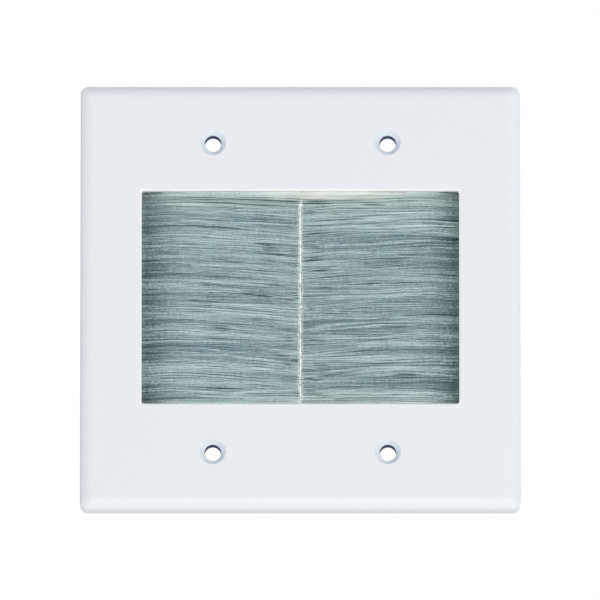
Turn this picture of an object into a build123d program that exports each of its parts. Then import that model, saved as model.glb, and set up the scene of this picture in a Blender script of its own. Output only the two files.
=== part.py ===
"""Two-gang brush wall plate: a moulded face plate whose cable opening is closed by two brush strips.

Millimetres. X runs across the plate, Z runs up it, and the face looks towards -Y. The origin is the
middle of the plate on the wall plane, where the rim meets the wall. Depths along Plane.XZ count
forward from the wall, so a depth below zero lies behind the wall plane, inside the wall box.
"""
import os
from math import sin

from build123d import *

# Face plate: outline, bevel, broken outer edge and hollow back
plate_width = 115.9
plate_height = 114.3
plate_depth = 5.5
plate_corner_radius = 2.2
bevel_inset = 1.9
bevel_drop = 1.15
face_corner_radius = 1.8
bevel_face_radius = 4.0
edge_break_inset = 0.35
edge_break_drop = 0.75
face_wall = 2.0
rim_wall = 2.2
cavity_corner_radius = 1.0

# Cable opening in the face
opening_width = 83.6
opening_height = 57.4
opening_corner_radius = 0.7
opening_edge_chamfer = 0.35

# Holes for the screws of the wall box
screw_pitch_across = 46.04
screw_pitch_up = 83.34
screw_hole_diameter = 4.3
countersink_diameter = 6.8
countersink_angle = 64
screw_pad_size = 11.0
screw_pad_height = 3.1

# Stiffening ribs behind the face
rib_thickness = 1.0
rib_rim_gap = 0.5

# Brush strip: folded steel channel, core wire and bristles
strip_overlap = 1.3
mouth_setback = 0.6
channel_height = 4.6
channel_depth = 4.2
channel_sheet = 0.6
channel_mouth = 2.0
core_wire_diameter = 1.2
packing_clearance = 0.05

# Bristle pack: tufts side by side, flaring out of the channel
front_tuft_pitch = 1.1
back_tuft_pitch = 2.2
tuft_gap_depth = 0.5
tuft_gap_spread = 0.3
tuft_height_spread = 0.16
tuft_turn = 2.4
flare_length = 7.0
tip_thickness = 4.2
front_crown = 1.0
tip_gap = 0.6

# Pocket behind the face that the brush strips lie in
pocket_clearance = 0.1
pocket_wall = 1.2

# Screw bosses and rear frame
boss_diameter = 4.6
boss_bore_depth = 4.2
frame_thickness = 2.0
frame_corner_radius = 1.6
frame_edge_chamfer = 0.4
frame_hole_diameter = 2.5

# Frame screws: small blunt pan-head screws with a cross recess
screw_diameter = 2.2
screw_length = 6.0
screw_head_diameter = 4.0
screw_crown_diameter = 3.2
screw_head_height = 1.5
screw_fit = 0.02
recess_span = 2.2
recess_slot = 0.6
recess_depth = 0.8
recess_taper = 12

# Places worked out from the sizes above
bevel_foot_depth = plate_depth - bevel_drop
side_wall_depth = bevel_foot_depth - edge_break_drop
pocket_floor = plate_depth - face_wall
frame_seat = pocket_floor - channel_height
brush_middle = channel_height / 2 - pocket_floor
strip_length = opening_height + 2 * strip_overlap
mouth_x = opening_width / 2 + mouth_setback
bend_radius = channel_height / 2
bend_x = mouth_x + channel_depth - bend_radius
pocket_width = 2 * (mouth_x + channel_depth + pocket_clearance)
pocket_height = strip_length + 2 * pocket_clearance
frame_width = pocket_width + 2 * pocket_wall
boss_pitch_across = pocket_width - boss_diameter
boss_pitch_up = pocket_height + pocket_wall + boss_diameter
frame_height = boss_pitch_up + boss_diameter


def bent_section(side, half_mouth, radius):
    """Half-round profile in plan: two legs closing from the bend to the mouth, on the given side."""
    bend_front = (side * bend_x, brush_middle - radius)
    bend_back = (side * bend_x, brush_middle + radius)
    mouth_front = (side * mouth_x, brush_middle - half_mouth)
    mouth_back = (side * mouth_x, brush_middle + half_mouth)
    with BuildLine() as profile:
        Polyline(bend_front, mouth_front, mouth_back, bend_back)
        ThreePointArc(bend_back, (side * (bend_x + radius), brush_middle), bend_front)
    return profile.line


def tuft_row(tuft_pitch, half_thickness, crown, turn):
    """Points along one face of the bristles: one crest for each tuft, with uneven gaps between.

    What lies clear of the edges of the opening stands further out by the crown.
    """
    tuft_count = round(strip_length / tuft_pitch)
    pitch = strip_length / tuft_count
    row = []
    for tuft in range(tuft_count):
        start = tuft * pitch - strip_length / 2
        middle = start + pitch / 2
        gap = tuft_gap_depth - tuft_gap_spread * (1 - sin(tuft_turn * tuft + turn)) / 2
        crest = tuft_height_spread * (1 + sin(tuft_turn * tuft * tuft - turn)) / 2
        for dip, height in ((gap, start), (crest, middle)):
            in_opening = abs(height) + pitch / 2 < opening_height / 2
            row.append((half_thickness - dip + crown * in_opening, height))
    row.append((half_thickness - tuft_gap_depth, strip_length / 2))
    return row


def tuft_section(side, half_thickness, crown):
    """Points round a cross-section of the bristles: up the front face and down the back face."""
    front = tuft_row(front_tuft_pitch, half_thickness, crown, side)
    back = tuft_row(back_tuft_pitch, half_thickness, 0, -side)
    up = [(brush_middle - reach, height) for reach, height in front]
    down = [(brush_middle + reach, -height) for reach, height in back]
    return up + down


os.makedirs("parts", exist_ok=True)

# Face plate: straight side wall, broken edge, bevel and flat face, with the rim of the face rounded
with BuildPart() as face_plate:
    with BuildSketch(Plane.XZ):
        RectangleRounded(plate_width, plate_height, plate_corner_radius)
    extrude(amount=side_wall_depth)
    for depth, inset, corner_radius in (
        (side_wall_depth, 0, plate_corner_radius),
        (bevel_foot_depth, edge_break_inset, plate_corner_radius - edge_break_inset),
        (plate_depth, bevel_inset, face_corner_radius),
    ):
        with BuildSketch(Plane.XZ.offset(depth)):
            RectangleRounded(plate_width - 2 * inset, plate_height - 2 * inset, corner_radius)
    loft(ruled=True)
    face_rim = face_plate.edges().group_by(Axis.Y)[0]
    fillet(face_rim, bevel_face_radius)

    # Hollow back
    with BuildSketch(Plane.XZ):
        RectangleRounded(
            plate_width - 2 * rim_wall, plate_height - 2 * rim_wall, cavity_corner_radius
        )
    extrude(amount=pocket_floor, mode=Mode.SUBTRACT)

    # Ribs from the pocket to the rim, a pad behind each box screw
    with BuildSketch(Plane.XZ.offset(pocket_floor)):
        Rectangle(plate_width - rim_wall, rib_thickness)
        Rectangle(rib_thickness, plate_height - rim_wall)
        Rectangle(pocket_width, pocket_height, mode=Mode.SUBTRACT)
    extrude(amount=rib_rim_gap - pocket_floor)
    with BuildSketch(Plane.XZ.offset(pocket_floor)):
        with GridLocations(screw_pitch_across, screw_pitch_up, 2, 2):
            Rectangle(screw_pad_size, screw_pad_size)
    extrude(amount=-screw_pad_height)

    # Pocket wall and bosses that carry the rear frame
    with BuildSketch(Plane.XZ.offset(pocket_floor)):
        Rectangle(pocket_width + 2 * pocket_wall, pocket_height + 2 * pocket_wall)
        with GridLocations(boss_pitch_across, boss_pitch_up, 2, 2):
            Circle(boss_diameter / 2)
        Rectangle(pocket_width, pocket_height, mode=Mode.SUBTRACT)
    extrude(amount=-channel_height)
    with Locations(Plane.back.offset(-frame_seat)):
        with GridLocations(boss_pitch_across, boss_pitch_up, 2, 2):
            Hole(screw_diameter / 2 + screw_fit, depth=boss_bore_depth)

    # Holes for the box screws, and the cable opening with its front edge broken
    with Locations(Plane.XZ.offset(plate_depth)):
        with GridLocations(screw_pitch_across, screw_pitch_up, 2, 2):
            CounterSinkHole(
                screw_hole_diameter / 2,
                countersink_diameter / 2,
                counter_sink_angle=countersink_angle,
            )
    with BuildSketch(Plane.XZ.offset(plate_depth)):
        RectangleRounded(opening_width, opening_height, opening_corner_radius)
    extrude(amount=-face_wall, mode=Mode.SUBTRACT)
    opening_rim = face_plate.edges(Select.LAST).group_by(Axis.Y)[0]
    chamfer(opening_rim, opening_edge_chamfer)
face_plate.part.label = "face_plate"
export_step(face_plate.part, "parts/face_plate.step")

# Brush strips: one at each side of the opening, their bristles meeting in the middle
for side, hand in ((-1, "left"), (1, "right")):
    with BuildPart() as brush_channel:
        with BuildSketch(Plane.XY):
            make_face(bent_section(side, channel_mouth / 2 + channel_sheet, bend_radius))
            make_face(
                bent_section(side, channel_mouth / 2, bend_radius - channel_sheet),
                mode=Mode.SUBTRACT,
            )
        extrude(amount=strip_length / 2, both=True)
    brush_channel.part.label = f"{hand}_brush_channel"
    export_step(brush_channel.part, f"parts/{hand}_brush_channel.step")

    with BuildPart() as core_wire:
        with BuildSketch(Plane.XY):
            with Locations((side * bend_x, brush_middle)):
                Circle(core_wire_diameter / 2)
        extrude(amount=strip_length / 2, both=True)
    core_wire.part.label = f"{hand}_core_wire"
    export_step(core_wire.part, f"parts/{hand}_core_wire.step")

    # The bristles fold round the wire, leave the mouth and flare to their full thickness
    root_half = channel_mouth / 2 - packing_clearance
    with BuildPart() as bristles:
        for x, half_thickness, crown in (
            (mouth_x, root_half, 0),
            (mouth_x - flare_length, tip_thickness / 2, front_crown),
            (tip_gap / 2, tip_thickness / 2, front_crown),
        ):
            with BuildSketch(Plane.YZ.offset(side * x)):
                with BuildLine():
                    Polyline(*tuft_section(side, half_thickness, crown), close=True)
                make_face()
        loft(ruled=True)
        with BuildSketch(Plane.XY):
            make_face(
                bent_section(side, root_half, bend_radius - channel_sheet - packing_clearance)
            )
            with Locations((side * bend_x, brush_middle)):
                Circle(core_wire_diameter / 2 + packing_clearance, mode=Mode.SUBTRACT)
        extrude(amount=strip_length / 2, both=True)
    bristles.part.label = f"{hand}_bristles"
    export_step(bristles.part, f"parts/{hand}_bristles.step")

# Rear frame: holds both channels down in the pocket
with BuildPart() as rear_frame:
    with BuildSketch(Plane.XZ.offset(frame_seat)):
        RectangleRounded(frame_width, frame_height, frame_corner_radius)
        Rectangle(opening_width, opening_height, mode=Mode.SUBTRACT)
    extrude(amount=-frame_thickness)
    frame_rim = rear_frame.edges().group_by(Axis.Y)[-1]
    chamfer(frame_rim, frame_edge_chamfer)
    with Locations(Plane.back.offset(frame_thickness - frame_seat)):
        with GridLocations(boss_pitch_across, boss_pitch_up, 2, 2):
            Hole(frame_hole_diameter / 2)
rear_frame.part.label = "rear_frame"
export_step(rear_frame.part, "parts/rear_frame.step")

# One frame screw, standing on its seat with the head up
with BuildPart() as one_screw:
    with BuildSketch(Plane.XZ):
        with BuildLine():
            Polyline(
                (0, screw_head_height),
                (0, -screw_length),
                (screw_diameter / 2, -screw_length),
                (screw_diameter / 2, 0),
                (screw_head_diameter / 2, 0),
                (screw_crown_diameter / 2, screw_head_height),
                close=True,
            )
        make_face()
    revolve(axis=Axis.Z)
    for slot_turn in (0, 90):
        with BuildSketch(Plane.XY.offset(screw_head_height)):
            Rectangle(recess_span, recess_slot, rotation=slot_turn)
        extrude(amount=-recess_depth, taper=recess_taper, mode=Mode.SUBTRACT)

# Four such screws through the rear frame into the bosses
with BuildPart() as frame_screws:
    with Locations(Plane.back.offset(frame_thickness - frame_seat)):
        with GridLocations(boss_pitch_across, boss_pitch_up, 2, 2):
            add(one_screw.part)
frame_screws.part.label = "frame_screws"
export_step(frame_screws.part, "parts/frame_screws.step")
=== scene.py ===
"""Looks of the brush wall plate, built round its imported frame.

Metres. X runs across the plate, Z runs up it, and the face looks towards -Y. The sections follow the
plate as it is put together, from the face plate to the frame screws, and end with the studio round it.
"""
from math import cos, pi, radians, sin

import bpy
import numpy as np
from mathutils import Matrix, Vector


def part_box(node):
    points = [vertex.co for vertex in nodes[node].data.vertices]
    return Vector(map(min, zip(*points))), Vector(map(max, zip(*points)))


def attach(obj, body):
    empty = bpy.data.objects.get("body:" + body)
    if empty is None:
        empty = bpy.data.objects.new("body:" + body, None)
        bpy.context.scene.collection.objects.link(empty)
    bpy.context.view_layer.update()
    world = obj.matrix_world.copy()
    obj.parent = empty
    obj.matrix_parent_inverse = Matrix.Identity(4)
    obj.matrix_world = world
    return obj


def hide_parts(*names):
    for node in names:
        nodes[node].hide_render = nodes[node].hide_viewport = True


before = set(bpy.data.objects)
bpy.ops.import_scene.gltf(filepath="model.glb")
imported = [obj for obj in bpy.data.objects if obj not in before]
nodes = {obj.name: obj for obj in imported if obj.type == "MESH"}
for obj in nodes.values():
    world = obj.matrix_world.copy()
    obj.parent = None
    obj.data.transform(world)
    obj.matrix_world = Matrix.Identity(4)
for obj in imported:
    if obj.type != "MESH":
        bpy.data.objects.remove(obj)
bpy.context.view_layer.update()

# Face plate
# One injection moulding of cool white ABS: a bevelled rim, four countersunk holes and the cable opening.
# A polished mould gives it a satin gloss, and the screws of the wall box hold it through the four holes.
MM = 0.001
PLATE_WHITE = "#ECEFF3"
BORE_PAINTED_SHADE = "#5F677E"
SINK_PAINTED_REFLECTION = "#F0F9FF"
LIP_PAINTED_LIGHT = "#FFFFFF"
BOX_HOLE_X = 46.04 * MM / 2
BOX_HOLE_Z = 83.34 * MM / 2
BORE_RADIUS = 2.15 * MM
BORE_FADE = (1.01 * BORE_RADIUS, 1.06 * BORE_RADIUS)
SINK_RADIUS = 3.4 * MM
SINK_FADE = (SINK_RADIUS, 0.95 * SINK_RADIUS)
OPENING_HALF_X = 41.8 * MM
OPENING_HALF_Z = 28.7 * MM
OPENING_LIP = 0.35 * MM
LIP_FADE = (1.6 * OPENING_LIP, 0.8 * OPENING_LIP)
MOULD_RIPPLE = 1.4 * MM
RIPPLE_HEIGHT = 0.02 * MM
RIPPLE_STRENGTH = 0.02
SATIN_ROUGHNESS = 0.42
PLASTIC_SHEEN = 0.5
ABS_IOR = 1.53


def linear(colour):
    """Linear RGBA of an sRGB hex colour, by the sRGB curve."""
    srgb = np.array([int(colour[i : i + 2], 16) for i in (1, 3, 5)]) / 255
    rgb = np.where(srgb <= 0.04045, srgb / 12.92, ((srgb + 0.055) / 1.055) ** 2.4)
    return (*rgb.tolist(), 1.0)


def add_node(tree, kind, settings=None, links=None):
    """Adds one node: settings fill its properties and inputs, links name the node or socket for an input."""
    node = tree.nodes.new(kind)
    inputs = {socket.identifier: socket for socket in reversed(node.inputs)}
    for name, value in (settings or {}).items():
        if name in inputs:
            inputs[name].default_value = value
        else:
            setattr(node, name, value)
    for name, source in (links or {}).items():
        if hasattr(source, "outputs"):
            source = next(socket for socket in source.outputs if socket.enabled)
        tree.links.new(source, inputs[name])
    return node


def new_material(name):
    """An empty material and its node tree."""
    material = bpy.data.materials.new(name)
    material.use_nodes = True
    material.node_tree.nodes.clear()
    return material, material.node_tree


def dress(node_name, material):
    """Gives a node of the frame its finish."""
    mesh = nodes[node_name].data
    mesh.materials.clear()
    mesh.materials.append(material)


# Polished-mould ABS: cool white, soft highlights that waver a little with the flow of the plastic, with
# painted shade in the bores, a painted cool reflection on the countersinks and painted light on the lip of
# the opening
plate_abs, tree = new_material("moulded_abs_cool_white")
place = add_node(tree, "ShaderNodeTexCoord").outputs["Object"]
ripple = add_node(tree, "ShaderNodeTexNoise", {"Scale": 1 / MOULD_RIPPLE, "Detail": 2.0}, {"Vector": place})
bump = add_node(
    tree, "ShaderNodeBump", {"Strength": RIPPLE_STRENGTH, "Distance": RIPPLE_HEIGHT}, {"Height": ripple}
)
# Distance from the axis of the nearest of the four holes
folded = add_node(tree, "ShaderNodeVectorMath", {"operation": "ABSOLUTE"}, {"Vector": place})
from_hole = add_node(
    tree,
    "ShaderNodeVectorMath",
    {"operation": "SUBTRACT", "Vector_001": (BOX_HOLE_X, 0, BOX_HOLE_Z)},
    {"Vector": folded},
)
flat = add_node(
    tree,
    "ShaderNodeVectorMath",
    {"operation": "MULTIPLY", "Vector_001": (1, 0, 1)},
    {"Vector": from_hole},
)
reach = add_node(tree, "ShaderNodeVectorMath", {"operation": "LENGTH"}, {"Vector": flat}).outputs["Value"]
# Painted reflection: the cones of the countersinks are tinted a little cooler, as if they mirrored cool
# light
in_sink = add_node(
    tree, "ShaderNodeMapRange", {"From Min": SINK_FADE[0], "From Max": SINK_FADE[1]}, {"Value": reach}
)
paint = add_node(
    tree,
    "ShaderNodeMix",
    {"data_type": "RGBA", "A_Color": linear(PLATE_WHITE), "B_Color": linear(SINK_PAINTED_REFLECTION)},
    {"Factor_Float": in_sink},
)
# Painted shade: the walls of the bores are painted dark, as if in deep shade, and lose their sheen
in_bore = add_node(
    tree,
    "ShaderNodeMapRange",
    {
        "interpolation_type": "SMOOTHSTEP",
        "From Min": BORE_FADE[0],
        "From Max": BORE_FADE[1],
        "To Min": 1.0,
        "To Max": 0.0,
    },
    {"Value": reach},
)
paint = add_node(
    tree,
    "ShaderNodeMix",
    {"data_type": "RGBA", "B_Color": linear(BORE_PAINTED_SHADE)},
    {"Factor_Float": in_bore, "A_Color": paint},
)
sheen = add_node(tree, "ShaderNodeMapRange", {"To Min": PLASTIC_SHEEN, "To Max": 0.0}, {"Value": in_bore})
# Painted light: the lip of the opening and the underside of its rim are painted paler, for light that comes
# through the thin plastic
from_edge = add_node(
    tree,
    "ShaderNodeVectorMath",
    {"operation": "SUBTRACT", "Vector_001": (OPENING_HALF_X, 0, OPENING_HALF_Z)},
    {"Vector": folded},
)
beside, _, above = add_node(tree, "ShaderNodeSeparateXYZ", None, {"Vector": from_edge}).outputs
outside = add_node(tree, "ShaderNodeMath", {"operation": "MAXIMUM"}, {"Value": beside, "Value_001": above})
on_lip = add_node(
    tree,
    "ShaderNodeMapRange",
    {"interpolation_type": "SMOOTHSTEP", "From Min": LIP_FADE[0], "From Max": LIP_FADE[1]},
    {"Value": outside},
)
paint = add_node(
    tree,
    "ShaderNodeMix",
    {"data_type": "RGBA", "B_Color": linear(LIP_PAINTED_LIGHT)},
    {"Factor_Float": on_lip, "A_Color": paint},
)
gloss = add_node(
    tree,
    "ShaderNodeBsdfPrincipled",
    {"Roughness": SATIN_ROUGHNESS, "IOR": ABS_IOR},
    {"Base Color": paint, "Specular IOR Level": sheen, "Normal": bump},
)
add_node(tree, "ShaderNodeOutputMaterial", None, {"Surface": gloss})
dress("face_plate", plate_abs)

# Brush channels
# Two strips of galvanised sheet steel, folded round the roots of the bristles and pressed shut on them.
# They lie in the pocket behind the face, along its left and right walls, under the rear frame.
GALVANISED = "#B9BCBD"
SPANGLE = 2.5 * MM
SPANGLE_ROUGHNESS = (0.3, 0.5)

# Galvanised sheet: a grey metal whose crystals of zinc each shine a little differently
galvanised, tree = new_material("galvanised_sheet_steel")
place = add_node(tree, "ShaderNodeTexCoord").outputs["Object"]
spangle = add_node(tree, "ShaderNodeTexVoronoi", {"Scale": 1 / SPANGLE}, {"Vector": place})
grain = add_node(
    tree,
    "ShaderNodeMapRange",
    {"To Min": SPANGLE_ROUGHNESS[0], "To Max": SPANGLE_ROUGHNESS[1]},
    {"Value": spangle.outputs["Color"]},
)
steel = add_node(
    tree,
    "ShaderNodeBsdfPrincipled",
    {"Base Color": linear(GALVANISED), "Metallic": 1.0},
    {"Roughness": grain},
)
add_node(tree, "ShaderNodeOutputMaterial", None, {"Surface": steel})
for hand in ("left", "right"):
    dress(f"{hand}_brush_channel", galvanised)

# Core wires
# A drawn steel wire in each channel, as long as the brush strip.
# Every filament is folded round it, so that none can pull out of the channel.
DRAWN_STEEL = "#A4A4A2"
DRAW_MARK = 0.3 * MM
DRAW_STRETCH = 0.05
DRAW_ROUGHNESS = (0.22, 0.42)

# Drawn wire: a plain grey metal with fine marks along it from the die
drawn, tree = new_material("drawn_steel_wire")
place = add_node(tree, "ShaderNodeTexCoord").outputs["Object"]
along = add_node(tree, "ShaderNodeMapping", {"Scale": (1, 1, DRAW_STRETCH)}, {"Vector": place})
marks = add_node(tree, "ShaderNodeTexNoise", {"Scale": 1 / DRAW_MARK}, {"Vector": along})
streak = add_node(
    tree,
    "ShaderNodeMapRange",
    {"To Min": DRAW_ROUGHNESS[0], "To Max": DRAW_ROUGHNESS[1]},
    {"Value": marks},
)
steel = add_node(
    tree,
    "ShaderNodeBsdfPrincipled",
    {"Base Color": linear(DRAWN_STEEL), "Metallic": 1.0},
    {"Roughness": streak},
)
add_node(tree, "ShaderNodeOutputMaterial", None, {"Surface": steel})
for hand in ("left", "right"):
    dress(f"{hand}_core_wire", drawn)

# Bristles
# Thousands of grey nylon filaments, each folded in half round the core wire and gripped by the channel.
# They flare out of its mouth, gather in locks, sag a little and end in a ragged cut down the middle.
FILAMENT_RADIUS = 0.08 * MM
FILAMENT_SIDES = 3
# Layer: filaments, lowest and highest rank from the wire out to the face, points along each leg
LAYERS = {"outer": (2000, 0.5, 1.0, 7), "inner": (1200, 0.05, 0.5, 5)}
ROOT_CROWDING = 1.5
FOLD_INNER = 0.72 * MM
FOLD_OUTER = 1.6 * MM
# The pack: half thickness at the mouth, length of the flare, how it swells inside the opening, and the
# bands at its upper and lower edge, where the strands lie to the front
MOUTH_HALF = 0.95 * MM
FLARE = 10.0 * MM
CROWN_FLUFF = 0.75 * MM
CROWN_RISE = 6.0 * MM
CROWN_AT_EDGE = 0.6
UPPER_BAND = 2.2 * MM
LOWER_BAND = 1.0 * MM
EDGE_FRONT = 0.95
# The lie of the strands: sag, where the edges carry or hold them, locks, strays and weave
SAG = {"left": 2.3 * MM, "right": 1.5 * MM}
SAG_STRAIGHT = 0.45
CARRIED_HEIGHT = 12.0 * MM
HELD_HEIGHT = 6.0 * MM
LOOSE_HEIGHT = 2.0 * MM
FREE_RATE = 1.5
LOCK_GATHER = 0.26 * MM
LOCK_BULGE = 0.22 * MM
STRAND_STRAY = 0.3 * MM
CROSSING_STRAY = 1.4 * MM
CROSSING_SHARE = 0.2
STRAND_WEAVE = 0.14 * MM
WEAVE_LENGTH = (14, 32)
# Waves over the brush, in mm: range of their lengths along the strands and of their heights up the brush
WAVES = 14
WAVE_SIZES = {
    "gather": ((30, 90), (1.6, 7.0)),
    "bulge": ((18, 60), (0.9, 5.0)),
    "locks": ((25, 80), (0.7, 4.0)),
    "bands": ((40, 160), (5.0, 14.0)),
}
# The cut: how far the tips reach, and how the line of the slit wanders and is roughened, with the lengths
# of its waves in mm
TIP_REACH = 0.09 * MM
BACK_SHORT = 0.14 * MM
TIP_RAGGED = 0.16 * MM
TIP_LAP = 0.1 * MM
TIP_STRAY = 0.26 * MM
STRAY_SHARE = 0.045
SLIT_TOP = 26.85 * MM
SLIT_WAVES = 8
SLIT_WANDER = 0.03 * MM
WANDER_LENGTH = (4, 16)
WANDER_SEED = 5
SLIT_ROUGH = 0.08 * MM
ROUGH_LENGTH = (0.6, 2)
ROUGH_SEED = 8
# Tone from dark (0) to light (1): of all strands, of locks, bands and single strands, and a painted shade
# that darkens the deeper strands
BASE_TONE = 0.63
LOCK_TONE = 0.1
BAND_TONE = 0.08
STRAND_TONE = 0.12
DEPTH_PAINTED_SHADE = 0.6
# Bake map: columns of rows, the shares of a column and of a row that stay free on each side, and the
# width of an end
BAKE_COLUMNS = 4
COLUMN_MARGIN = 0.02
ROW_MARGIN = 0.1
END_WIDTH = 0.004


def smooth(t):
    """Smooth step: 0 at 0 and 1 at 1, level at both."""
    t = np.clip(t, 0, 1)
    return t * t * (3 - 2 * t)


def draw_waves(rng, length, height):
    """Draws waves over the brush: each has its own length along the filaments, height up it and start."""
    along = rng.choice([-1, 1], WAVES) / (rng.uniform(*length, WAVES) * MM)
    rise = 1 / (rng.uniform(*height, WAVES) * MM)
    return along, rise, rng.uniform(0, 1, WAVES)


def sum_waves(waves, out, root_z):
    """Sum of the waves' cosines at each point of each filament, so that near filaments move together."""
    along, rise, start = waves
    turns = along * out[None, :, None] + rise * root_z[:, None, None] + start
    return np.sqrt(2 / WAVES) * np.cos(2 * pi * turns).sum(axis=2)


def slit_line(z, seed, lengths, size):
    """A line that wanders up the slit: at each height a sum of cosines, with lengths drawn from a range."""
    rng = np.random.default_rng(seed)
    turns = z[..., None] / (rng.uniform(*lengths, SLIT_WAVES) * MM) + rng.uniform(0, 1, SLIT_WAVES)
    return size * np.sqrt(2 / SLIT_WAVES) * np.cos(2 * pi * turns).sum(axis=-1)


def leg_path(rng, comb, brush, share, root_z, rank):
    """One leg of each filament from the mouth (share 0) to the tip (share 1), out from the wire.

    Its height is that of its root, moved by its lock and by a stray of its own, which is long in the few
    strands that cross others, less a sag that grows with the share and is small where an edge of the
    opening carries or holds it. Its depth is its rank times the half thickness of the pack there, plus the
    bulge of its lock and a slow weave of its own. The half thickness opens over the flare, and by the crown
    more where the filament lies inside the opening, in full once it is clear of the upper edge.
    The tips end short of the slit line, which both strips share, each by a length of its own, and in front
    the cut is rough. A few tips reach over the line, and so do those in front next to the upper edge. Those
    at the back are cut shorter.
    """
    count = len(root_z)
    out = share * brush["length"]
    free = smooth(FREE_RATE * share)
    loose = smooth(np.abs(OPENING_HALF_Z - np.abs(root_z)) / LOOSE_HEIGHT)[:, None]
    z = root_z[:, None] + loose * LOCK_GATHER * free * sum_waves(comb["gather"], out, root_z)
    crossing = rng.uniform(0, 1, (count, 1)) < CROSSING_SHARE
    stray = np.where(crossing, CROSSING_STRAY, STRAND_STRAY)
    z += loose * stray * share * rng.normal(0, 1, (count, 1))
    carried = smooth((root_z + brush["strip_half"]) / CARRIED_HEIGHT)[:, None]
    carried *= smooth((OPENING_HALF_Z - root_z) / HELD_HEIGHT)[:, None]
    z -= brush["sag"] * carried * share * (SAG_STRAIGHT + (1 - SAG_STRAIGHT) * share)
    clear = np.abs(root_z)[:, None] < OPENING_HALF_Z - FILAMENT_RADIUS
    limit = np.where(clear, OPENING_HALF_Z - FILAMENT_RADIUS, brush["strip_half"])
    z = np.clip(z, -limit, limit)

    from_edge = smooth((OPENING_HALF_Z - root_z) / CROWN_RISE)[:, None]
    risen = CROWN_AT_EDGE + (1 - CROWN_AT_EDGE) * from_edge
    full = brush["edge_half"] + comb["crown"] * clear * risen
    half = MOUTH_HALF + (full - MOUTH_HALF) * smooth(out / FLARE) - FILAMENT_RADIUS
    turns = out / (rng.uniform(*WEAVE_LENGTH, (count, 1)) * MM) + rng.uniform(0, 1, (count, 1))
    weave = STRAND_WEAVE * rng.normal(0, 1, (count, 1)) * np.sin(2 * pi * turns)
    depth = rank[:, None] * half + free * (LOCK_BULGE * sum_waves(comb["bulge"], out, root_z) + weave)
    depth = np.clip(depth, -half, half)

    tip = brush["tip_x"] + np.abs(rng.normal(0, TIP_RAGGED, (count, 1)))
    tip -= TIP_STRAY * (rng.uniform(0, 1, (count, 1)) < STRAY_SHARE)
    if comb["crown"]:
        tip += slit_line(z[:, -1:], ROUGH_SEED + brush["side"], ROUGH_LENGTH, SLIT_ROUGH)
        tip -= (tip + TIP_LAP) * (root_z[:, None] > SLIT_TOP)
    else:
        tip += BACK_SHORT
    tip += brush["side"] * slit_line(z[:, -1:], WANDER_SEED, WANDER_LENGTH, SLIT_WANDER)
    x = brush["mouth_x"] - share * (brush["mouth_x"] - tip)
    return np.stack([x, depth, z], axis=2)


def fold_path(root_z, rank, wire_x):
    """Half turns round the core wire: the quarter points of circles whose radius grows with the rank."""
    angle = np.array([pi / 2, 0, -pi / 2])
    radius = (FOLD_INNER + (FOLD_OUTER - FOLD_INNER) * rank)[:, None]
    x = wire_x + radius * np.cos(angle)
    y = -radius * np.sin(angle)
    return np.stack([x, y, np.repeat(root_z[:, None], len(angle), axis=1)], axis=2)


def with_ends(values):
    """Values along each path, followed by those of its first and its last point once more."""
    return np.concatenate([values, values[:, [0, -1]]], axis=1)


def filament_tubes(paths):
    """Thin tubes round many paths at once: ring points, side quads and a triangle on each end.

    Each ring stands square to its path: its first axis is the path's direction turned a quarter in plan,
    and its second is the one square to both. Two more rings, on the first and the last, carry the ends.
    """
    run = np.gradient(paths, axis=1)
    run /= np.linalg.norm(run, axis=2, keepdims=True)
    across = np.cross(run, (0.0, 0.0, 1.0))
    across /= np.linalg.norm(across, axis=2, keepdims=True)
    upward = np.cross(across, run)
    angle = 2 * pi * np.arange(FILAMENT_SIDES)[:, None] / FILAMENT_SIDES
    ring = np.cos(angle) * across[:, :, None] + np.sin(angle) * upward[:, :, None]
    points = with_ends(paths[:, :, None] + FILAMENT_RADIUS * ring)
    corner = np.arange(points.size // 3).reshape(points.shape[:3])
    near, far = corner[:, :-3], corner[:, 1:-2]
    quads = np.stack([near, far, np.roll(far, -1, axis=2), np.roll(near, -1, axis=2)], axis=3)
    ends = np.stack([corner[:, -2], corner[:, -1, ::-1]], axis=1)
    return points, quads, ends


def bake_rows(count, steps):
    """Corner places in the bake map: each filament has a row of its own, and its sides share that row."""
    rows = -(-count // BAKE_COLUMNS)
    row_height = (1 - 2 * ROW_MARGIN) / rows
    order = np.arange(count)
    left = (order % BAKE_COLUMNS + COLUMN_MARGIN)[:, None] / BAKE_COLUMNS
    along = left + (1 - 2 * COLUMN_MARGIN) / BAKE_COLUMNS * np.linspace(0, 1, steps)
    low = (order // BAKE_COLUMNS + ROW_MARGIN)[:, None, None] / rows
    high = low + row_height
    near = np.repeat(along[:, :-1, None], FILAMENT_SIDES, axis=2)
    far = np.repeat(along[:, 1:, None], FILAMENT_SIDES, axis=2)
    low, high = (np.broadcast_to(edge, near.shape) for edge in (low, high))
    u = np.stack([near, far, far, near], axis=3)
    v = np.stack([low, low, high, high], axis=3)
    side_places = np.stack([u, v], axis=4).reshape(-1, 2)
    end_u = along[:, [0, -1], None] + np.array([0.0, END_WIDTH, 0.0]) * np.array([[1], [-1]])
    end_v = low[:, :1, :1] + row_height * np.array([0.0, 0.5, 1.0])
    end_places = np.stack([end_u, np.broadcast_to(end_v, end_u.shape)], axis=3).reshape(-1, 2)
    return np.concatenate([side_places, end_places])


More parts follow.
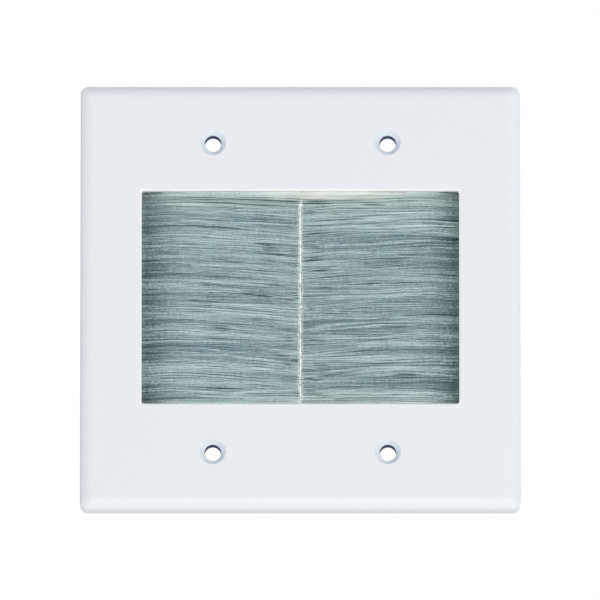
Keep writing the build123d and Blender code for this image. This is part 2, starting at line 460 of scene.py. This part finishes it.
def filament_mesh(name, paths, values):
    """One mesh of all the filaments of a layer, with the named values of each point kept as attributes."""
    count, steps, _ = paths.shape
    points, quads, ends = filament_tubes(paths)
    mesh = bpy.data.meshes.new(name)
    mesh.vertices.add(points.size // 3)
    mesh.vertices.foreach_set("co", points.astype(np.float32).ravel())
    corners = np.concatenate([quads.ravel(), ends.ravel()])
    sizes = np.repeat([4, FILAMENT_SIDES], [quads.size // 4, ends.size // FILAMENT_SIDES])
    mesh.loops.add(len(corners))
    mesh.loops.foreach_set("vertex_index", corners.astype(np.int32))
    mesh.polygons.add(len(sizes))
    mesh.polygons.foreach_set("loop_start", (np.cumsum(sizes) - sizes).astype(np.int32))
    for value_name, value in values.items():
        attribute = mesh.attributes.new(value_name, "FLOAT", "POINT")
        on_rings = np.repeat(with_ends(np.broadcast_to(value, (count, steps))), FILAMENT_SIDES, axis=1)
        attribute.data.foreach_set("value", on_rings.astype(np.float32).ravel())
    bake_map = mesh.uv_layers.new(name="OFBake")
    bake_map.uv.foreach_set("vector", bake_rows(count, steps).astype(np.float32).ravel())
    mesh.update(calc_edges=True)
    mesh.shade_smooth()
    return mesh


NYLON_DARK = "#89AAB1"
NYLON_LIGHT = "#DDF4F4"
NYLON_PAINTED_SHADE = "#40545B"
NYLON_PAINTED_GLINT = "#F2FAF6"
NYLON_ROOT_PAINTED_SHADE = "#3C535B"
NYLON_PAINTED_LIGHT = "#F8FEF9"
NYLON_TIP_PAINTED_LIGHT = "#F1FFFA"
NYLON_ROUGHNESS = 0.4
NYLON_IOR = 1.53
# Marks along the strands: their length and width, and where in the noise each kind starts
STRAND_MARKS = {
    "lock": (60.0 * MM, 2.2 * MM, 0.0),
    "tuft": (50.0 * MM, 1.0 * MM, 7.0),
    "long": (40.0 * MM, 0.32 * MM, 14.0),
    "middle": (5.0 * MM, 0.26 * MM, 21.0),
    "short": (0.8 * MM, 0.3 * MM, 28.0),
    "gap_shade": (16.0 * MM, 0.55 * MM, 43.0),
    "glint": (3.0 * MM, 0.3 * MM, 50.0),
    "parting": (9.0 * MM, 0.6 * MM, 71.0),
}
# How far each kind of streak moves the tone, from the low to the high end of most noise
STREAK_TONES = {"lock": 0.27, "tuft": 0.23, "long": 0.13, "middle": 0.16, "short": 0.32}
NOISE_LOW, NOISE_HIGH = 0.25, 0.75
# Sparse marks, painted shade in the gaps between locks and painted glints: where in the noise one begins and
# is full, its share and its colour
SPARSE_MARKS = {"gap_shade": (0.37, 0.27, 0.85, NYLON_PAINTED_SHADE), "glint": (0.64, 0.74, 0.6, NYLON_PAINTED_GLINT)}
# Partings, painted as shade: the same, then how far from the slit they begin and are full
PARTING = (0.4, 0.3, 0.85)
PARTING_REACH = (13.0 * MM, 4.0 * MM)
# Painted shade of the roots: its reach, how it gathers, its share in pale strands, and where the mouth
# lightens it
ROOT_SHADE = 16.0 * MM
ROOT_GATHER = 1.7
PALE_TONE = 0.4
PALE_SHARE = 0.3
MOUTH_BEGIN = 40.4 * MM
MOUTH_SHARE = 0.45
# Lower line of the painted light along the upper border: level as far as its bend, then rising to its end
BORDER_BEND = (18.0 * MM, 26.6 * MM)
BORDER_END = (44.0 * MM, 28.6 * MM)
# Painted light at the edges: what it is measured by, where it begins and is full, and its share at both
EDGE_LIGHT = {
    "border": ("above", -0.25 * MM, 0.2 * MM, 0.0, 1.0),
    "rim": ("up", 27.9 * MM, 28.3 * MM, 0.0, 1.0),
    "left_fade": ("across", -24.0 * MM, 5.0 * MM, 0.1, 1.0),
    "right_fade": ("across", 40.0 * MM, 14.0 * MM, 0.3, 1.0),
    "upper": ("up", 21.0 * MM, 27.0 * MM, 0.0, 0.3),
    "lower": ("up", -23.0 * MM, -28.6 * MM, 0.0, 0.17),
    "root_fade": ("from_middle", 41.5 * MM, 31.0 * MM, 0.2, 1.0),
}
# Painted shadow of the loose lock: its middle from the slit and from the border, its half length and half
# height, and where in those its edge begins, where it is full and its share
LOCK_MIDDLE = (4.6 * MM, -0.62 * MM, 0.0)
LOCK_HALF = (4.2 * MM, 0.4 * MM, 1.0)
LOCK_SHADE = (1.1, 0.3, 0.75)
# Painted light on the tips: how far from the end it begins, and is full
TIP_PALE = 0.48 * MM
TIP_WHITE = 0.15 * MM

# Nylon monofilament: cool grey and half shiny, each strand of its own tone, with painted shade in the crowd
# at the roots, in the gaps and partings and deep in the pack, painted glints, and painted light at the cut
# tips and the edges of the pack. The finest streaks are about two strands wide, as thinner ones wouldn't
# show
mouth_x = abs(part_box("left_brush_channel")[1][0])
nylon, tree = new_material("grey_nylon_filament")
place = add_node(tree, "ShaderNodeTexCoord").outputs["Object"]
across, _, up = add_node(tree, "ShaderNodeSeparateXYZ", None, {"Vector": place}).outputs
root = add_node(tree, "ShaderNodeAttribute", {"attribute_name": "root"}).outputs["Fac"]
to_tip = add_node(tree, "ShaderNodeAttribute", {"attribute_name": "to_tip"}).outputs["Fac"]
mixed_tone = add_node(tree, "ShaderNodeAttribute", {"attribute_name": "tone"}).outputs["Fac"]
from_middle = add_node(tree, "ShaderNodeMath", {"operation": "ABSOLUTE"}, {"Value": across})
on_strand = add_node(tree, "ShaderNodeCombineXYZ", None, {"X": across, "Z": root})
strand_noise = {}
for kind, (length, width, start) in STRAND_MARKS.items():
    stretch = add_node(
        tree,
        "ShaderNodeMapping",
        {"Scale": (1 / length, 1 / width, 1 / width), "Location": (start, start, start)},
        {"Vector": on_strand},
    )
    strand_noise[kind] = add_node(
        tree, "ShaderNodeTexNoise", {"Scale": 1.0, "Detail": 1.0}, {"Vector": stretch}
    )
for kind, strength in STREAK_TONES.items():
    spread = add_node(
        tree,
        "ShaderNodeMapRange",
        {"From Min": NOISE_LOW, "From Max": NOISE_HIGH, "To Min": -strength, "To Max": strength},
        {"Value": strand_noise[kind]},
    )
    mixed_tone = add_node(
        tree, "ShaderNodeMath", {"operation": "ADD"}, {"Value": mixed_tone, "Value_001": spread}
    )
colour = add_node(
    tree,
    "ShaderNodeMix",
    {"data_type": "RGBA", "A_Color": linear(NYLON_DARK), "B_Color": linear(NYLON_LIGHT)},
    {"Factor_Float": mixed_tone},
)
# Painted shade in the gaps between locks, and painted glints on single strands
for kind, (begin, full, most, mark_colour) in SPARSE_MARKS.items():
    marked = add_node(
        tree,
        "ShaderNodeMapRange",
        {"interpolation_type": "SMOOTHSTEP", "From Min": begin, "From Max": full, "To Max": most},
        {"Value": strand_noise[kind]},
    )
    colour = add_node(
        tree,
        "ShaderNodeMix",
        {"data_type": "RGBA", "B_Color": linear(mark_colour)},
        {"Factor_Float": marked, "A_Color": colour},
    )
# Painted shade where the locks part here and there towards their tips
begin, full, most = PARTING
parted = add_node(
    tree,
    "ShaderNodeMapRange",
    {"interpolation_type": "SMOOTHSTEP", "From Min": begin, "From Max": full, "To Max": most},
    {"Value": strand_noise["parting"]},
)
near_slit = add_node(
    tree,
    "ShaderNodeMapRange",
    {"interpolation_type": "SMOOTHSTEP", "From Min": PARTING_REACH[0], "From Max": PARTING_REACH[1]},
    {"Value": from_middle},
)
parting = add_node(
    tree, "ShaderNodeMath", {"operation": "MULTIPLY"}, {"Value": parted, "Value_001": near_slit}
)
colour = add_node(
    tree,
    "ShaderNodeMix",
    {"data_type": "RGBA", "B_Color": linear(NYLON_PAINTED_SHADE)},
    {"Factor_Float": parting, "A_Color": colour},
)
# Painted shade: the crowd at the roots keeps the light out, so the roots are painted darker, less so for
# pale strands and right at the mouth
near_root = add_node(
    tree,
    "ShaderNodeMapRange",
    {"From Min": mouth_x - ROOT_SHADE, "From Max": mouth_x},
    {"Value": from_middle},
)
root_share = add_node(
    tree, "ShaderNodeMath", {"operation": "POWER", "Value_001": ROOT_GATHER}, {"Value": near_root}
)
pale_few = add_node(
    tree,
    "ShaderNodeMapRange",
    {"From Min": PALE_TONE, "To Min": 1.0, "To Max": PALE_SHARE},
    {"Value": mixed_tone},
)
at_mouth = add_node(
    tree,
    "ShaderNodeMapRange",
    {"From Min": MOUTH_BEGIN, "From Max": OPENING_HALF_X, "To Min": 1.0, "To Max": MOUTH_SHARE},
    {"Value": from_middle},
)
for part in (pale_few, at_mouth):
    root_share = add_node(
        tree, "ShaderNodeMath", {"operation": "MULTIPLY"}, {"Value": root_share, "Value_001": part}
    )
colour = add_node(
    tree,
    "ShaderNodeMix",
    {"data_type": "RGBA", "B_Color": linear(NYLON_ROOT_PAINTED_SHADE)},
    {"Factor_Float": root_share, "A_Color": colour},
)
# Painted light: the edges of the pack are painted ivory, for light from the white walls of the pocket that
# shines through them
border_line = add_node(
    tree,
    "ShaderNodeMapRange",
    {
        "From Min": BORDER_BEND[0],
        "From Max": BORDER_END[0],
        "To Min": BORDER_BEND[1],
        "To Max": BORDER_END[1],
    },
    {"Value": across},
)
above = add_node(
    tree, "ShaderNodeMath", {"operation": "SUBTRACT"}, {"Value": up, "Value_001": border_line}
)
measures = {"across": across, "up": up, "above": above, "from_middle": from_middle}
light = {}
for name, (measure, begin, full, least, most) in EDGE_LIGHT.items():
    light[name] = add_node(
        tree,
        "ShaderNodeMapRange",
        {
            "interpolation_type": "SMOOTHSTEP",
            "From Min": begin,
            "From Max": full,
            "To Min": least,
            "To Max": most,
        },
        {"Value": measures[measure]},
    )
lit = light["border"]
for operation, name in (
    ("MAXIMUM", "rim"),
    ("MULTIPLY", "left_fade"),
    ("MULTIPLY", "right_fade"),
    ("MAXIMUM", "upper"),
    ("MAXIMUM", "lower"),
    ("MULTIPLY", "root_fade"),
):
    lit = add_node(
        tree, "ShaderNodeMath", {"operation": operation}, {"Value": lit, "Value_001": light[name]}
    )
colour = add_node(
    tree,
    "ShaderNodeMix",
    {"data_type": "RGBA", "B_Color": linear(NYLON_PAINTED_LIGHT)},
    {"Factor_Float": lit, "A_Color": colour},
)
# Painted shadow: a loose lock at the top of the slit shades the strands below it, so they are painted dark
beside = add_node(tree, "ShaderNodeCombineXYZ", None, {"X": across, "Y": above})
nearness = add_node(
    tree,
    "ShaderNodeMapping",
    {"vector_type": "TEXTURE", "Location": LOCK_MIDDLE, "Scale": LOCK_HALF},
    {"Vector": beside},
)
span = add_node(tree, "ShaderNodeVectorMath", {"operation": "LENGTH"}, {"Vector": nearness})
begin, full, most = LOCK_SHADE
shaded = add_node(
    tree,
    "ShaderNodeMapRange",
    {"interpolation_type": "SMOOTHSTEP", "From Min": begin, "From Max": full, "To Max": most},
    {"Value": span.outputs["Value"]},
)
colour = add_node(
    tree,
    "ShaderNodeMix",
    {"data_type": "RGBA", "B_Color": linear(NYLON_PAINTED_SHADE)},
    {"Factor_Float": shaded, "A_Color": colour},
)
# Painted light: the cut ends are painted pale, as if they caught the light
near_tip = add_node(
    tree,
    "ShaderNodeMapRange",
    {"interpolation_type": "SMOOTHSTEP", "From Min": TIP_PALE, "From Max": TIP_WHITE},
    {"Value": to_tip},
)
colour = add_node(
    tree,
    "ShaderNodeMix",
    {"data_type": "RGBA", "B_Color": linear(NYLON_TIP_PAINTED_LIGHT)},
    {"Factor_Float": near_tip, "A_Color": colour},
)
strand = add_node(
    tree,
    "ShaderNodeBsdfPrincipled",
    {"Roughness": NYLON_ROUGHNESS, "IOR": NYLON_IOR},
    {"Base Color": colour},
)
add_node(tree, "ShaderNodeOutputMaterial", None, {"Surface": strand})

# Each strip: its side of the slit, and the seed of its strands
for hand, side, seed in (("left", -1, 11), ("right", 1, 23)):
    rng = np.random.default_rng(seed)
    pack_box = np.array(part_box(f"{hand}_bristles"))
    channel_box = np.array(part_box(f"{hand}_brush_channel"))
    wire_x, wire_y, _ = np.mean(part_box(f"{hand}_core_wire"), axis=0)
    front_half = wire_y - pack_box[0, 1]
    back_half = pack_box[1, 1] - wire_y
    brush = {
        "strip_half": pack_box[1, 2] - FILAMENT_RADIUS,
        "edge_half": back_half,
        "mouth_x": np.abs(channel_box[:, 0]).min(),
        "tip_x": np.abs(pack_box[:, 0]).min() - TIP_REACH,
        "sag": SAG[hand],
        "side": side,
    }
    brush["length"] = brush["mouth_x"] - brush["tip_x"]
    # The front legs of the filaments are combed apart from the back legs, and only they swell out
    combs = [
        {"crown": crown} | {name: draw_waves(rng, *sizes) for name, sizes in WAVE_SIZES.items()}
        for crown in (front_half - back_half + CROWN_FLUFF, 0.0)
    ]
    for layer, (count, low_rank, high_rank, leg_points) in LAYERS.items():
        root_z = brush["strip_half"] * (2 * (np.arange(count) + rng.uniform(0, 1, count)) / count - 1)
        rank = rng.uniform(low_rank, high_rank, count)
        if layer == "outer":
            band = np.where(root_z > 0, UPPER_BAND, LOWER_BAND)
            at_edge = 1 - smooth((OPENING_HALF_Z - np.abs(root_z)) / band)
            rank += (1 - rank) * EDGE_FRONT * at_edge
        share = np.linspace(0, 1, leg_points) ** ROOT_CROWDING
        front, back = (leg_path(rng, comb, brush, share, root_z, rank) for comb in combs)
        front *= np.array([1, -1, 1])
        fold = fold_path(root_z, rank, abs(wire_x))
        paths = np.concatenate([front[:, ::-1], fold, back], axis=1)
        paths = paths * np.array([side, 1, 1]) + np.array([0, wire_y, 0])
        out = share * brush["length"]
        front_shade, back_shade = (
            LOCK_TONE * sum_waves(comb["locks"], out, root_z)
            + BAND_TONE * sum_waves(comb["bands"], out, root_z)
            for comb in combs
        )
        fold_shade = np.zeros((count, fold.shape[1]))
        shade = np.concatenate([front_shade[:, ::-1], fold_shade, back_shade], axis=1)
        # Strands deeper in the pack get painted shade in their tone
        own_tone = rng.normal(0, STRAND_TONE, count) - DEPTH_PAINTED_SHADE * (1 - rank)
        tone = BASE_TONE + shade + own_tone[:, None]
        # The fold's first two points count with the front leg, its last one with the back leg
        nearest_tip = [0] * (leg_points + 2) + [-1] * (leg_points + 1)
        tip_distance = np.abs(paths[:, :, 0] - paths[:, nearest_tip, 0])
        # The right strip mirrors the left one, so its paths run the other way to keep their faces outwards
        if side > 0:
            paths = paths[:, ::-1]
            tone = tone[:, ::-1]
            tip_distance = tip_distance[:, ::-1]
        values = {"tone": tone, "root": root_z[:, None], "to_tip": tip_distance}
        mesh = filament_mesh(f"{hand}_{layer}_filaments", paths, values)
        mesh.materials.append(nylon)
        filaments = bpy.data.objects.new(mesh.name, mesh)
        bpy.context.scene.collection.objects.link(filaments)
        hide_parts(f"{hand}_bristles")
        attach(filaments, "root")

# Rear frame
# A flat ring of white ABS, moulded with a fine matt texture.
# It holds both channels down in the pocket, and four screws fix it to the bosses of the face plate.
FRAME_WHITE = "#E6E9EC"
FRAME_GRIT = 0.5 * MM
GRIT_HEIGHT = 0.03 * MM
GRIT_STRENGTH = 0.25
MATT_ROUGHNESS = 0.55

# Matt ABS: white, with a fine grain that spreads the highlights
frame_abs, tree = new_material("matt_abs_white")
place = add_node(tree, "ShaderNodeTexCoord").outputs["Object"]
grit = add_node(tree, "ShaderNodeTexNoise", {"Scale": 1 / FRAME_GRIT, "Detail": 3.0}, {"Vector": place})
bump = add_node(
    tree, "ShaderNodeBump", {"Strength": GRIT_STRENGTH, "Distance": GRIT_HEIGHT}, {"Height": grit}
)
matt = add_node(
    tree,
    "ShaderNodeBsdfPrincipled",
    {"Base Color": linear(FRAME_WHITE), "Roughness": MATT_ROUGHNESS, "IOR": ABS_IOR},
    {"Normal": bump},
)
add_node(tree, "ShaderNodeOutputMaterial", None, {"Surface": matt})
dress("rear_frame", frame_abs)

# Frame screws
# Four small steel pan-head screws with a cross recess, bright zinc plated.
# They hold the rear frame to the bosses of the face plate.
ZINC = "#C3C4C6"
ZINC_CLOUD = 0.8 * MM
ZINC_ROUGHNESS = (0.2, 0.36)

# Bright zinc: a pale metal with a slightly cloudy shine
zinc, tree = new_material("bright_zinc_plate")
place = add_node(tree, "ShaderNodeTexCoord").outputs["Object"]
cloud = add_node(tree, "ShaderNodeTexNoise", {"Scale": 1 / ZINC_CLOUD}, {"Vector": place})
haze = add_node(
    tree,
    "ShaderNodeMapRange",
    {"To Min": ZINC_ROUGHNESS[0], "To Max": ZINC_ROUGHNESS[1]},
    {"Value": cloud},
)
steel = add_node(
    tree,
    "ShaderNodeBsdfPrincipled",
    {"Base Color": linear(ZINC), "Metallic": 1.0},
    {"Roughness": haze},
)
add_node(tree, "ShaderNodeOutputMaterial", None, {"Surface": steel})
dress("frame_screws", zinc)

# Studio
# A pale floor well below the plate and white all round. Cool light that is stronger from below and in
# front, a warm soft lamp in front and a little below, and a white one behind for the back of the plate.
FLOOR_DROP = 0.75
FLOOR_RADIUS = 0.6
FLOOR_SIDES = 96
FLOOR_PALE = "#F2F2F2"
FLOOR_LIFT = 0.4
AMBIENT = 0.62
AMBIENT_LEAN = (0.18, -0.32, -0.62)
AMBIENT_COOL = (0.955, 0.99, 1.055, 1.0)
SEEN_WHITE = (1.0, 1.0, 1.0, 1.0)
KEY_WARM = (1.0, 0.9, 0.74)
FILL_WHITE = (1.0, 1.0, 1.0)


def seen_rays(tree):
    """Two marks of a ray: 1 if the camera sends it, and 1 if the camera, a shine or a glass sends it."""
    rays = add_node(tree, "ShaderNodeLightPath").outputs
    seen = rays["Is Camera Ray"]
    for kind in ("Is Glossy Ray", "Is Transmission Ray"):
        seen = add_node(
            tree, "ShaderNodeMath", {"operation": "MAXIMUM"}, {"Value": seen, "Value_001": rays[kind]}
        )
    return rays["Is Camera Ray"], seen


turn = 2 * pi * np.arange(FLOOR_SIDES) / FLOOR_SIDES
rim = np.stack([FLOOR_RADIUS * np.cos(turn), FLOOR_RADIUS * np.sin(turn), 0 * turn - FLOOR_DROP], axis=1)
floor_mesh = bpy.data.meshes.new("floor")
floor_mesh.from_pydata(rim.tolist(), [], [list(range(len(rim)))])
floor = bpy.data.objects.new("floor", floor_mesh)
bpy.context.scene.collection.objects.link(floor)
# Pale paper: lifted where it is seen, and see-through from below
pale, tree = new_material("pale_floor")
camera_ray, seen = seen_rays(tree)
lift = add_node(
    tree, "ShaderNodeMath", {"operation": "MULTIPLY", "Value_001": FLOOR_LIFT}, {"Value": seen}
)
paper = add_node(tree, "ShaderNodeBsdfDiffuse", {"Color": linear(FLOOR_PALE)})
glow = add_node(tree, "ShaderNodeEmission", {"Color": linear(FLOOR_PALE)}, {"Strength": lift})
lit_paper = add_node(tree, "ShaderNodeAddShader", None, {"Shader": paper, "Shader_001": glow})
clear = add_node(tree, "ShaderNodeBsdfTransparent")
underside = add_node(tree, "ShaderNodeNewGeometry").outputs["Backfacing"]
seen_from_below = add_node(
    tree, "ShaderNodeMath", {"operation": "MULTIPLY"}, {"Value": camera_ray, "Value_001": underside}
)
one_sided = add_node(
    tree,
    "ShaderNodeMixShader",
    None,
    {"Fac": seen_from_below, "Shader": lit_paper, "Shader_001": clear},
)
add_node(tree, "ShaderNodeOutputMaterial", None, {"Surface": one_sided})
floor_mesh.materials.append(pale)

# White where it is seen, and elsewhere a cool light whose strength leans with its direction
world = bpy.data.worlds.new("white_studio")
world.use_nodes = True
tree = world.node_tree
tree.nodes.clear()
_, seen = seen_rays(tree)
direction = add_node(tree, "ShaderNodeTexCoord").outputs["Generated"]
slope = add_node(
    tree,
    "ShaderNodeVectorMath",
    {"operation": "DOT_PRODUCT", "Vector_001": AMBIENT_LEAN},
    {"Vector": direction},
)
ambient = add_node(
    tree,
    "ShaderNodeMath",
    {"operation": "MULTIPLY_ADD", "Value_001": AMBIENT, "Value_002": AMBIENT},
    {"Value": slope.outputs["Value"]},
)
strength = add_node(tree, "ShaderNodeMapRange", {"To Max": 1.0}, {"Value": seen, "To Min": ambient})
cast = add_node(
    tree,
    "ShaderNodeMix",
    {"data_type": "RGBA", "A_Color": AMBIENT_COOL, "B_Color": SEEN_WHITE},
    {"Factor_Float": seen},
)
glow = add_node(tree, "ShaderNodeBackground", None, {"Color": cast, "Strength": strength})
add_node(tree, "ShaderNodeOutputWorld", None, {"Surface": glow})
bpy.context.scene.world = world


def towards(azimuth, elevation):
    """Unit direction from the plate: azimuth turns from straight in front towards +X, elevation rises."""
    a, e = radians(azimuth), radians(elevation)
    return Vector((sin(a) * cos(e), -cos(a) * cos(e), sin(e)))


# Lamps: name, azimuth, elevation, distance, width of the soft box, power in watts, colour
for name, azimuth, elevation, distance, width, power, tint in (
    ("key_lamp", 12, -20, 1.2, 1.0, 5.05, KEY_WARM),
    ("back_lamp", 160, 25, 1.2, 1.0, 6.0, FILL_WHITE),
):
    lamp = bpy.data.lights.new(name, "AREA")
    lamp.size = width
    lamp.energy = power
    lamp.color = tint
    stand = bpy.data.objects.new(name, lamp)
    stand.location = towards(azimuth, elevation) * distance
    stand.rotation_euler = (-towards(azimuth, elevation)).to_track_quat("-Z", "Y").to_euler()
    bpy.context.scene.collection.objects.link(stand)

# Camera
# It stands far off with a long lens, level across the plate and looking a little up at it.
# The standard view shows the colours as they are lit.
VIEW_ELEVATION = -12.5
VIEW_DISTANCE = 6.0
VIEW_WIDTH = 158.1 * MM
VIEW_OFFSET = (-0.1 * MM, 0.34 * MM)
SENSOR = 36.0

lens = bpy.data.cameras.new("camera")
lens.sensor_width = SENSOR
lens.lens = SENSOR * VIEW_DISTANCE / VIEW_WIDTH
lens.clip_start = 0.1
lens.clip_end = 2 * VIEW_DISTANCE
camera = bpy.data.objects.new("camera", lens)
back = towards(0, VIEW_ELEVATION)
camera.rotation_euler = (-back).to_track_quat("-Z", "Y").to_euler()
camera.location = back * VIEW_DISTANCE + Vector((VIEW_OFFSET[0], 0, VIEW_OFFSET[1]))
bpy.context.scene.collection.objects.link(camera)
bpy.context.scene.camera = camera
bpy.context.scene.view_settings.view_transform = "Standard"
